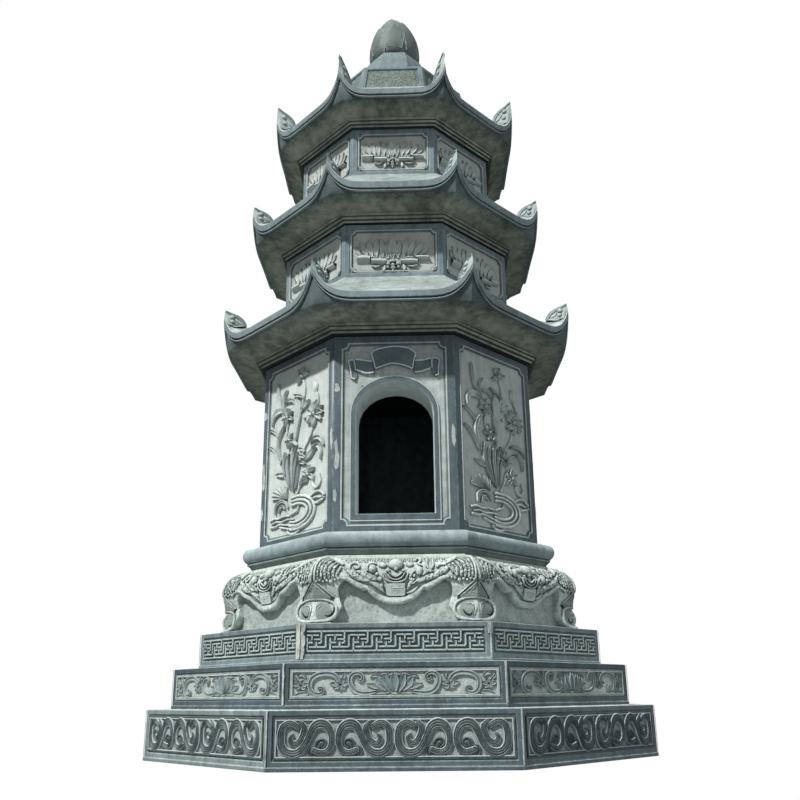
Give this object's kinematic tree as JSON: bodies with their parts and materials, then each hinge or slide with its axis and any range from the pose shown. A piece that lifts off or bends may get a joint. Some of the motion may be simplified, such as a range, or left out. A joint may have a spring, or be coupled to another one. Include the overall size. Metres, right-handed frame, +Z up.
{
  "type": "octagonal stone pagoda",
  "caption": "Octagonal carved stone pagoda with roofed storeys, upturned eave horns, a stepped plinth on carved legs, an arched doorway into a hollow chamber and a lotus bud finial.",
  "frame": {"origin": "centre of the plinth's underside, on the ground", "axes": "+Z up; the front with the arched doorway faces -Y; +X to the right of someone facing the doorway"},
  "size_m": [2.67, 2.67, 5.245],
  "materials": {
    "blue_stone": "honed blue-grey limestone with chalky weathering",
    "green_stone": "pecked grey-green limestone, matt, with carved relief",
    "dark_stone": "dark slate-grey limestone, smooth, with lime bloom"
  },
  "bodies": {
    "root": {"lower_plinth_front": "dark_stone", "lower_plinth_front_right": "dark_stone", "lower_plinth_right": "dark_stone", "lower_plinth_back_right": "dark_stone", "lower_plinth_back": "dark_stone", "lower_plinth_back_left": "dark_stone", "lower_plinth_left": "dark_stone", "lower_plinth_front_left": "dark_stone", "middle_plinth_front": "dark_stone", "middle_plinth_front_right": "dark_stone", "middle_plinth_right": "dark_stone", "middle_plinth_back_right": "dark_stone", "middle_plinth_back": "dark_stone", "middle_plinth_back_left": "dark_stone", "middle_plinth_left": "dark_stone", "middle_plinth_front_left": "dark_stone", "upper_plinth_front": "dark_stone", "upper_plinth_front_right": "dark_stone", "upper_plinth_right": "dark_stone", "upper_plinth_back_right": "dark_stone", "upper_plinth_back": "dark_stone", "upper_plinth_back_left": "dark_stone", "upper_plinth_left": "dark_stone", "upper_plinth_front_left": "dark_stone", "altar_base": "green_stone", "sill_moulding": "blue_stone", "wall_front": "green_stone", "wall_front_right": "green_stone", "wall_right": "green_stone", "wall_back_right": "green_stone", "wall_back": "green_stone", "wall_back_left": "green_stone", "wall_left": "green_stone", "wall_front_left": "green_stone", "lower_cornice": "dark_stone", "lower_roof": "blue_stone", "middle_cornice": "dark_stone", "middle_roof": "blue_stone", "upper_cornice": "dark_stone", "upper_roof": "blue_stone", "middle_drum": "green_stone", "upper_drum": "green_stone", "cap": "green_stone", "neck": "blue_stone", "lotus_bud": "green_stone"}
  },
  "joints": []
}
